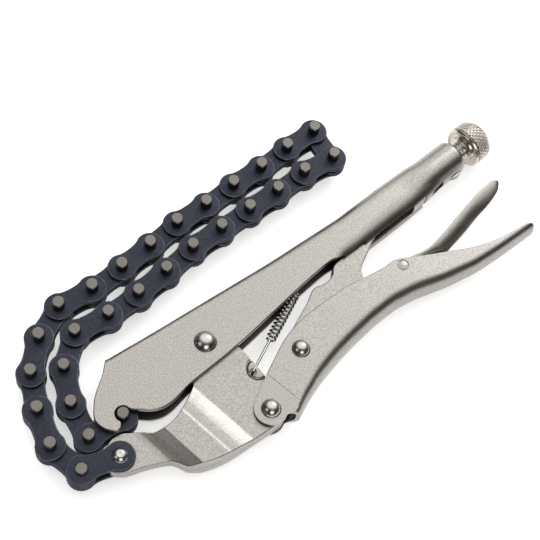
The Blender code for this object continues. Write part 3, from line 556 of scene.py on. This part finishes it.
# Pairs of a distance across the bends and the outer face's height over the mid-plane.
JAW_BENDS = ((-0.0800, 0.0028), (-0.0480, 0.0028), (-0.0460, 0.0031), (-0.0440, 0.0038),
             (-0.0420, 0.0048), (-0.0402, 0.0059), (-0.0388, 0.0068), (-0.0284, 0.0068),
             (-0.0275, 0.0065), (-0.0255, 0.0064), (-0.0235, 0.0062), (-0.0212, 0.0057),
             (-0.0190, 0.0051), (-0.0170, 0.0045), (0.0300, 0.0045))
JAW_SEAM = 0.00012
POCKET = (0.0098, -0.0220)
POCKET_STEPS = ((0.0016, 0.0042), (0.0036, 0.0039), (0.0043, 0.0036), (0.0048, 0.0028),
                (0.0054, 0.0028), (0.0054, 0.0080))
SPRING_HOLE = (0.0072, -0.0218)


def bent_sheet(line, side):
    """A flat stamping cut across by lines along its bends, then raised: a point's height is the
    bend profile at its distance across the bends, plus its place in the blank's thickness, and
    never less than half of the seam that parts it from its mirror image."""
    flat = joined("jaw_blank", [stamping(line, level(-JAW_BLANK), level(0))], [])
    bm = bmesh.new()
    bm.from_mesh(flat.data)
    across = (np.cos(JAW_SKEW), np.sin(JAW_SKEW), 0)
    for cut in np.linspace(-0.050, -0.014, 60):
        everything = bm.verts[:] + bm.edges[:] + bm.faces[:]
        bmesh.ops.bisect_plane(bm, geom=everything, dist=1e-7, plane_no=across,
                               plane_co=(cut * across[0], cut * across[1], 0))
    bm.to_mesh(flat.data)
    bm.free()
    points = np.empty(3 * len(flat.data.vertices))
    flat.data.vertices.foreach_get("co", points)
    points = points.reshape(-1, 3)
    loops = [list(face.vertices) for face in flat.data.polygons]
    bpy.data.objects.remove(flat, do_unlink=True)
    distance = points[:, 0] * across[0] + points[:, 1] * across[1]
    raised = points[:, 2] + eased(distance, JAW_BENDS, 0.0012)
    points[:, 2] = MID + side * np.maximum(raised, JAW_SEAM)
    return points, loops, 0


jaw_line = cut_line(arc(ANCHOR, TONGUE_R, 235, 100, 9)
                    + placed(JAW_UPPER, (0, 0), JAW_REACH, JAW_DEPTH)
                    + arc((0, 0), JAW_BOSS_R, 160, -10, 13)
                    + placed(JAW_BACK, (JAW_BOSS_R, 0), JAW_BOSS_R, JAW_DEPTH)[::-1]
                    + arc(LOWER_PIVOT, LOWER_BOSS_R, 10, -100, 9)
                    + placed(JAW_LOWER, (0, 0), JAW_REACH, JAW_DEPTH))
clamp_jaw = joined("clamp_jaw_pressed", [bent_sheet(jaw_line, 1), bent_sheet(jaw_line, -1)],
                   [satin_nickel])
carved(clamp_jaw,
       ("DIFFERENCE", turned(POCKET_STEPS, (*POCKET, MID), sides=96)),
       ("DIFFERENCE", turned([(r, -h) for r, h in POCKET_STEPS], (*POCKET, MID), sides=96)),
       bore(SPRING_HOLE_R, SPRING_HOLE), bore(MAIN_BORE_R, (0, 0)),
       bore(LEVER_BORE_R, LOWER_PIVOT), bore(ANCHOR_BORE_R, ANCHOR))
even_shading(clamp_jaw)
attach(clamp_jaw, "jaw")
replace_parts(clamp_jaw, "clamp_jaw")

# Lower lever. One nickel-plated sheet folded to a channel that narrows toward its tip, with its
# web along the outer edge, and a round end that stands a little lower over the jaw.
LEVER_SHEET = 0.0017
BOSS_STEP = 0.00040
LEVER_RISE = 0.0214
LEVER_END_R = 0.0070
LINK_BORE_R = 0.0027
RELEASE_BORE_R = 0.0018
RELEASE_SEAT_R = 0.0026
LEVER_INNER = ((0.056, 0.570), (0.111, 0.738), (0.150, 0.855), (0.197, 0.948),
               (0.281, 1.000), (0.339, 0.986), (0.414, 0.953), (0.473, 0.870),
               (0.543, 0.790), (0.582, 0.771), (0.601, 0.720), (0.627, 0.607),
               (0.723, 0.234), (0.779, 0.019), (0.857, -0.196), (0.950, -0.332),
               (0.988, -0.383), (1.000, -0.460), (0.997, -0.560), (0.985, -0.640))
LEVER_OUTER = ((0.940, -0.542), (0.865, -0.509), (0.766, -0.435), (0.666, -0.276),
               (0.570, -0.060), (0.499, 0.037), (0.412, 0.047), (0.326, 0.005),
               (0.259, -0.051), (0.174, -0.164), (0.099, -0.322), (0.060, -0.430))
LEVER_BLANK = ((0.1500, -0.0560), (0.1000, -0.0560), (0.0104, -0.0560), (0.0100, -0.0478),
               (0.0084, -0.0463))
WEB_ROUNDS = ((-0.010, 0.0034), (0.010, 0.0048), (0.032, 0.0078), (0.090, 0.0078),
              (0.125, 0.0070), (0.156, 0.0066))
WEB_SPREADS = ((-0.010, 1.00), (0.032, 0.76), (0.090, 0.74), (0.125, 0.66), (0.156, 0.60))
BOSS_LINE = ((-0.020, -0.020), (0.0095, -0.020), (0.0142, -0.052), (-0.020, -0.052))

lever_end = arc(LOWER_PIVOT, LEVER_END_R, 300, 110, 15)
lever_inner = placed(LEVER_INNER, LOWER_PIVOT, LEVER_LENGTH, LEVER_RISE)
tip = len(lever_end) + len(lever_inner) - 1
lever_line = cut_line(lever_end + lever_inner + list(LEVER_BLANK), corners=range(tip, tip + 5))
lower_lever = joined("lower_lever_folded", [
    stamping(lever_line, lambda x: MID - lever_half(x), lambda x: MID + lever_half(x))], [satin_nickel])

lever_x = np.linspace(-0.008, 0.1535, 260)
lever_outer = placed(LEVER_OUTER, LOWER_PIVOT, LEVER_LENGTH, LEVER_RISE)
web = eased(lever_x, [(-0.010, -0.0530), *lever_outer[::-1], (0.156, -0.0512)], 0.008)
web_round = eased(lever_x, WEB_ROUNDS, 0.015)
web_spread = eased(lever_x, WEB_SPREADS, 0.015)
lever_top = np.full_like(lever_x, -0.010)
top_round = np.full_like(lever_x, 0.0005)
half_wide = lever_half(lever_x)
inner_wide = half_wide - LEVER_SHEET
boss_line = np.array(BOSS_LINE)
rivet_seat = lever_half(RELEASE_PIVOT[0]) - 0.0005
carved(lower_lever,
       ("INTERSECT", folded(lever_x, web, lever_top, half_wide + HAIR, web_round, top_round, web_spread,
                            far_round=np.minimum(web_round, 2 * half_wide - web_round - 0.0003))),
       ("DIFFERENCE", folded(lever_x, web + LEVER_SHEET, lever_top + 0.002, inner_wide,
                             np.minimum(web_round - LEVER_SHEET * 0.8, inner_wide - 0.0002),
                             top_round)),
       bore(LEVER_BORE_R, LOWER_PIVOT), bore(LINK_BORE_R, LINK_PIVOT),
       bore(RELEASE_BORE_R, RELEASE_PIVOT),
       bore(RELEASE_SEAT_R, RELEASE_PIVOT, low=rivet_seat, sides=48),
       bore(RELEASE_SEAT_R, RELEASE_PIVOT, high=-rivet_seat, sides=48),
       ("DIFFERENCE", stamping(boss_line, level(MID + LEVER_HALF - BOSS_STEP), level(MID + 0.02), HAIR, 2)),
       ("DIFFERENCE", stamping(boss_line, level(MID - 0.02), level(MID - LEVER_HALF + BOSS_STEP), HAIR, 2)))
even_shading(lower_lever)
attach(lower_lever, "lever")
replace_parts(lower_lever, "lower_lever")

# Toggle link. A flat nickel-plated strut between the lever's sides, from the link rivet to the
# tip of the screw, with a half-round notch in its upper edge.
LINK_HALF = 0.0034
LINK_LENGTH = 0.0727
LINK_RISE = 0.0273
LINK_END_R = 0.0072
LINK_TIP = (0.1015, 0)
LINK_TIP_R = 0.0033
LINK_UPPER = ((0.945, 1.085), (0.860, 1.010), (0.740, 0.880), (0.640, 0.780),
              (0.510, 0.705), (0.492, 0.650), (0.462, 0.612), (0.425, 0.598),
              (0.385, 0.612), (0.360, 0.640), (0.230, 0.520), (0.100, 0.390))
LINK_LOWER = ((0.150, -0.215), (0.300, -0.110), (0.440, 0.030), (0.560, 0.170),
              (0.615, 0.280), (0.640, 0.400), (0.690, 0.490), (0.765, 0.580),
              (0.835, 0.675), (0.930, 0.770), (1.030, 0.880))

link_line = cut_line(arc(LINK_PIVOT, LINK_END_R, 115, 295, 13)
                     + placed(LINK_LOWER, LINK_PIVOT, LINK_LENGTH, LINK_RISE)
                     + arc(LINK_TIP, LINK_TIP_R, -40, 110, 9)
                     + placed(LINK_UPPER, LINK_PIVOT, LINK_LENGTH, LINK_RISE))
toggle_link = joined("toggle_link_strut", [
    stamping(link_line, level(MID - LINK_HALF), level(MID + LINK_HALF))], [satin_nickel])
carved(toggle_link, bore(LINK_BORE_R, LINK_PIVOT))
even_shading(toggle_link)
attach(toggle_link, "toggle")
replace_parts(toggle_link, "toggle_link")

# Release lever. A small nickel-plated steel lever with a narrow flat along its inner edge and a
# face that slopes away to its outer edge, held by the release rivet inside the lower lever.
RELEASE_HALF = 0.0027
RELEASE_LENGTH = 0.0655
RELEASE_DEPTH = 0.0060
RELEASE_STRIP = 0.0014
RELEASE_DROP = 0.0036
RELEASE_PAST = 0.0012     # how far the sloped tube passes the lever's inner edge
RELEASE_TOP = ((-0.165, 0.25), (-0.120, 0.42), (0.110, 0.230), (0.240, -0.080), (0.380, 0.050),
               (0.540, 0.340), (0.700, 0.640), (0.840, 0.860), (0.930, 0.900), (0.980, 0.900),
               (1.010, 0.700))
RELEASE_BOTTOM = ((-0.165, -0.15), (-0.090, -0.45), (-0.030, -0.600), (0.180, -0.640),
                  (0.320, -1.080), (0.430, -0.950), (0.570, -0.740), (0.720, -0.440),
                  (0.870, -0.220), (0.970, 0.060), (1.010, 0.450))
SLOPE_DROPS = ((0.078, 0.0), (0.094, 0.0), (0.106, RELEASE_DROP), (0.136, RELEASE_DROP),
               (0.158, 0.0012))


def sloped(x, low, high, half, drop, strip, steps=9):
    """A tube along X whose section at each station is a rectangle with its near face sloped: flat
    for the strip's width from the high edge, then sunk by drop x share to the power 1.8, where
    the share grows from 0 at the strip to 1 at the low edge."""
    share = np.linspace(0, 1, steps)[None]
    edge = (high - strip)[:, None]
    top, bottom = high[:, None], low[:, None]
    near, far = np.full_like(top, half), np.full_like(top, -half)
    y = np.concatenate((top, top, edge + (bottom - edge) * share, bottom), axis=1)
    z = np.concatenate((far, near, near - drop[:, None] * share**1.8, far), axis=1)
    return skin(np.dstack((np.broadcast_to(x[:, None], y.shape), y, MID + z)))


release_top = placed(RELEASE_TOP, RELEASE_PIVOT, RELEASE_LENGTH, RELEASE_DEPTH)
release_bottom = placed(RELEASE_BOTTOM, RELEASE_PIVOT, RELEASE_LENGTH, RELEASE_DEPTH)
release_line = cut_line(release_bottom + release_top[::-1], step=0.0005)
release_lever = joined("release_lever_curled", [
    stamping(release_line, level(MID - RELEASE_HALF), level(MID + RELEASE_HALF), 0.0003)], [satin_nickel])
release_x = np.linspace(0.078, 0.1580, 160)
release_low = eased(release_x, release_bottom, 0.004) - 0.0001
release_high = eased(release_x, release_top, 0.004) + RELEASE_PAST
slope_drop = eased(release_x, SLOPE_DROPS, 0.006)
carved(release_lever,
       ("INTERSECT", sloped(release_x, release_low, release_high, RELEASE_HALF + HAIR, slope_drop,
                            RELEASE_STRIP)),
       bore(RELEASE_BORE_R, RELEASE_PIVOT))
even_shading(release_lever)
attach(release_lever, "release")
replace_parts(release_lever, "release_lever")

# Adjusting screw. A steel screw with a fine cut thread, nickel plated, that runs through the
# collar to the toggle link's tip.
SCREW_R = 0.00475
SCREW_PITCH = 0.0015
SCREW_START = 0.1062
SCREW_END = 0.1562
THREAD_DEPTH = 0.00050
TIP_TAPER = 0.0018

bright_nickel = metal("bright_nickel", (0.56, 0.53, 0.48), 0.26, 0.0006, 0.00001, 0.05)


def lathed(x, radii, angles):
    """A shape turned about X, whose radius can differ along it and round it."""
    return skin(np.dstack((np.broadcast_to(x[:, None], radii.shape), radii * np.cos(angles),
                           MID + radii * np.sin(angles))))


screw_x = np.linspace(SCREW_START, SCREW_END, 560)
screw_angle = 2 * np.pi * np.arange(64) / 64
# The groove is a triangle wave along each turn, cut off flat at its crest and at its root.
turns = (screw_x[:, None] - SCREW_START) / SCREW_PITCH - screw_angle / (2 * np.pi)
groove = np.clip(np.abs(turns % 1 * 2 - 1) * 1.25 - 0.1, 0, 1)
taper = np.clip((screw_x - SCREW_START) / TIP_TAPER, 0, 1)[:, None] * TIP_TAPER
screw_r = SCREW_R - TIP_TAPER + taper - THREAD_DEPTH * groove
screw = joined("adjusting_screw_threaded", [lathed(screw_x, screw_r, screw_angle)], [bright_nickel])
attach(screw, "screw")
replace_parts(screw, "adjusting_screw")

# Adjusting knob. Turned steel, nickel plated: a neck, a smooth chamfered flange, and a barrel
# with a diamond knurl, rounded over toward its end.
KNOB_R = 0.0097
KNOB_RIM = 0.1575
KNOB_END = 0.1687
KNOB_NECK_R = 0.0060
KNURLS = 30
KNURL_DEPTH = 0.00055
KNURL_START = KNOB_RIM + 0.0017
KNURL_END = KNOB_END - 0.0004
KNURL_LEAN = 0.85
KNURL_FLATNESS = 2.2
BARREL_RINGS = 80
BARREL_ROUND = 0.0026
BARREL_STRAIGHT = 0.55    # share of the barrel before it rounds over
# Steps of the flange: radius past the neck's or the knob's own, and place past the rim.
NECK_STEPS = ((-0.0003, -0.0012), (0.0, -0.0010), (0.0, -0.0003), (-0.0002, 0.0),
              (0.0003, 0.0007), (0.0012, 0.0008))
RIM_STEPS = ((-0.0015, 0.0004), (-0.0011, 0.0), (-0.0008, 0.0), (-0.0001, 0.0007), (0.0, 0.0010),
             (-0.0001, 0.0012), (-0.0008, 0.00135), (-0.0008, 0.0016))

flange_r, flange_x = np.vstack((np.array(NECK_STEPS) + (KNOB_NECK_R, KNOB_RIM),
                                np.array(RIM_STEPS) + (KNOB_R, KNOB_RIM))).T
knob_x = np.concatenate((flange_x, np.linspace(KNURL_START, KNURL_END, BARREL_RINGS),
                         [KNOB_END - 0.0002, KNOB_END, KNOB_END, KNOB_END]))
barrel_share = np.linspace(0, 1, BARREL_RINGS)
rounding = np.clip((barrel_share - BARREL_STRAIGHT) / (1 - BARREL_STRAIGHT), 0, 1)**2.4
barrel = KNOB_R - BARREL_ROUND * rounding
knob_r = np.concatenate((flange_r, barrel, [barrel[-1] - 0.0004, barrel[-1] - 0.0010, 0.0030, 0.0004]))
knob_angle = 2 * np.pi * np.arange(400) / 400
# The knurl is deepest on two sets of grooves that lean opposite ways; the nearer one counts.
climb = (knob_x[:, None] - KNURL_START) * KNURLS / (2 * np.pi * KNOB_R) * KNURL_LEAN
around = KNURLS * knob_angle / (2 * np.pi)
valley = np.minimum(np.abs((around + climb) % 1 * 2 - 1), np.abs((around - climb) % 1 * 2 - 1))
valley = np.clip(valley * KNURL_FLATNESS, 0, 1)
on_knurl = ((knob_x >= KNURL_START) & (knob_x <= KNURL_END))[:, None]
fade = np.clip(np.minimum(knob_x - KNURL_START, KNURL_END - knob_x) / 0.0004, 0, 1)[:, None]
knob_skin = knob_r[:, None] - KNURL_DEPTH * (1 - valley) * on_knurl * fade
knob = joined("adjusting_knob_knurled", [lathed(knob_x, knob_skin, knob_angle)], [bright_nickel])
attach(knob, "knob")
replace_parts(knob, "adjusting_knob")

# Return spring. One bright steel wire: a hook through the jaw, a close tension coil, and a hook
# in the lug under the handle's web.
WIRE_R = 0.0006
COIL_R = 0.0018
COIL_TURNS = 13
COIL_START = (0.0233, -0.0149)
COIL_END = (0.0470, -0.0055)
COIL_STEPS = 28
LUG = (0.0555, 0.0030)
# Points of a hook: height over its seat, and share of the way from there to the coil's end.
JAW_HOOK = ((0.0012, -0.02), (0.0028, 0.0), (0.0039, 0.03), (0.0038, 0.12))
LUG_HOOK = ((0.0021, 0.25), (0.0021, 0.0), (0.0008, 0.0), (-0.0020, 0.0))

spring_wire = metal("spring_wire", (0.42, 0.41, 0.39), 0.22, 0.0007, 0.00001, 0.15, 0.05)


def tube(points, radius, sides=10):
    """A round wire along points: at each one a circle square to the path, which starts in a
    direction square to one fixed direction as well."""
    ahead = np.gradient(points, axis=0)
    ahead /= np.linalg.norm(ahead, axis=1)[:, None]
    up = np.cross(ahead, np.array((0.31, 0.87, 0.39)))
    up /= np.linalg.norm(up, axis=1)[:, None]
    side = np.cross(ahead, up)
    angle = 2 * np.pi * np.arange(sides) / sides
    return skin(points[:, None] + radius * np.cos(angle)[None, :, None] * up[:, None]
                + radius * np.sin(angle)[None, :, None] * side[:, None])


def hook(seat, coil_end, table):
    """Wire points from heights over a seat and shares of the way from it to the coil's end."""
    height, share = np.array(table).T[:, :, None]
    return seat + coil_up * height + (coil_end - seat) * share


coil_from, coil_to = np.array((*COIL_START, MID)), np.array((*COIL_END, MID))
coil_axis = coil_to - coil_from
coil_side = np.array((-coil_axis[1], coil_axis[0], 0)) / np.linalg.norm(coil_axis)
coil_up = np.array((0, 0, 1.0))
# A helix about the line between its ends, whose radius grows from a quarter at both of them.
along = np.linspace(0, 1, COIL_TURNS * COIL_STEPS + 1)[:, None]
swell = COIL_R * np.clip(np.minimum(along, 1 - along) * COIL_TURNS * 2 + 0.25, 0, 1)
wound = 2 * np.pi * COIL_TURNS * along
coil = (coil_from + coil_axis * along + swell * np.sin(wound) * coil_side
        + swell * np.cos(wound) * coil_up)
path = np.vstack((hook(np.array((*SPRING_HOLE, MID)), coil_from, JAW_HOOK), coil,
                  hook(np.array((*LUG, MID)), coil_to, LUG_HOOK)))
spring = joined("return_spring_coil", [tube(path, WIRE_R)], [spring_wire])
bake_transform(spring)
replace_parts(spring, "return_spring")

# Chain. Roller chain without rollers, 5/8 inch pitch, in blue-black oxide: figure-eight plates
# with worn bright edges, and ground steel pins that stand proud of the outer plates.
PITCH = 0.015875
PLATE_R = 0.0062
WAIST_HALF = 0.0047
PLATE_T = 0.0013
PIN_R = 0.00255
PIN_HALF = 0.0082
FIRST_PIN_HALF = 0.0062
PIN_SIDES = 32
FIRST_LOW = 0.0031
OUTER_LOW = 0.0022
INNER_LOW = 0.0006
CHAIN_HEADINGS = (161, 101, 71, 62, 41, 22, -8, 0, 2, 4, -3, 0, -3, 1, -3, -99,
                  171, 179, 177, 178, 178, 185, 183, 179, 172, 216, 242)

worn_edge = metal("worn_edge", (0.10, 0.11, 0.13), 0.35, 0.0012, 0.00001, 0.35, 0.08)
chain_oxide = metal("chain_oxide", (0.028, 0.031, 0.045), 0.45, 0.0012, 0.000015, 0.25, 0.08, 0.75)
pin_steel = metal("pin_steel", (0.16, 0.148, 0.135), 0.38, 0.0005, 0.00001, 0.15, 0.06)

# Each pin lies one pitch on along its heading; the last free one is a pitch from both neighbours.
pins = [np.array(ANCHOR)]
for heading in np.radians(CHAIN_HEADINGS):
    pins.append(pins[-1] + PITCH * np.array((np.cos(heading), np.sin(heading))))
span = np.array(HOOK) - pins[-1]
half_span = np.linalg.norm(span) / 2
span_side = np.array((span[1], -span[0])) / (2 * half_span)
pins.append(pins[-1] + span / 2 + span_side * np.sqrt(PITCH**2 - half_span**2))
pins.append(np.array(HOOK))

plate_line = cut_line(arc((PITCH, 0), PLATE_R, -122, 122, 15) + [(PITCH / 2, WAIST_HALF)]
                      + arc((0, 0), PLATE_R, 58, 302, 15) + [(PITCH / 2, -WAIST_HALF)], step=0.0009)


def chain_pin(x, half, chamfer=0.00035):
    """A pin through the mid-plane with its two rims chamfered: bright ends on a dark side."""
    points, faces, _ = turned([(0.0002, -half), (PIN_R - chamfer, -half), (PIN_R, chamfer - half),
                               (PIN_R, half - chamfer), (PIN_R - chamfer, half), (0.0002, half)],
                              (x, 0, 0), sides=PIN_SIDES)
    return points, faces, np.repeat((1, 1, 0, 1, 1, 1), [PIN_SIDES] * 5 + [2])


def plate(low, high, rounding=0.0004, rows=5):
    """One plate, whose rounded rims are worn bright where they leave the flat faces."""
    points, faces, _ = stamping(plate_line, level(low), level(high), rounding, rows)
    bands = [2, 2] + [0] * (2 * rows - 5) + [2, 2]
    return points, faces, np.repeat(bands + [0], [len(plate_line)] * len(bands) + [2])


def plate_pair(low):
    """Two plates, mirrored about the mid-plane, with their inner faces this far from it."""
    return [plate(low, low + PLATE_T), plate(-low - PLATE_T, -low)]


outer_link = plate_pair(OUTER_LOW) + [chain_pin(0, PIN_HALF), chain_pin(PITCH, PIN_HALF)]
inner_link = plate_pair(INNER_LOW)
first_link = plate_pair(FIRST_LOW) + [chain_pin(PITCH, FIRST_PIN_HALF)]
for i in range(len(pins) - 1):
    kind = first_link if i == 0 else (outer_link if i % 2 == 0 else inner_link)
    way = (pins[i + 1] - pins[i]) / PITCH
    lay = np.array(((way[0], -way[1], 0), (way[1], way[0], 0), (0, 0, 1)))
    here = np.array((*pins[i], MID))
    link = joined("chain_link_%02d_plates" % (i + 1),
                  [(points @ lay.T + here, faces, number) for points, faces, number in kind],
                  [chain_oxide, pin_steel, worn_edge])
    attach(link, "link_%02d" % (i + 1))
    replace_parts(link, "chain_link_%02d" % (i + 1))
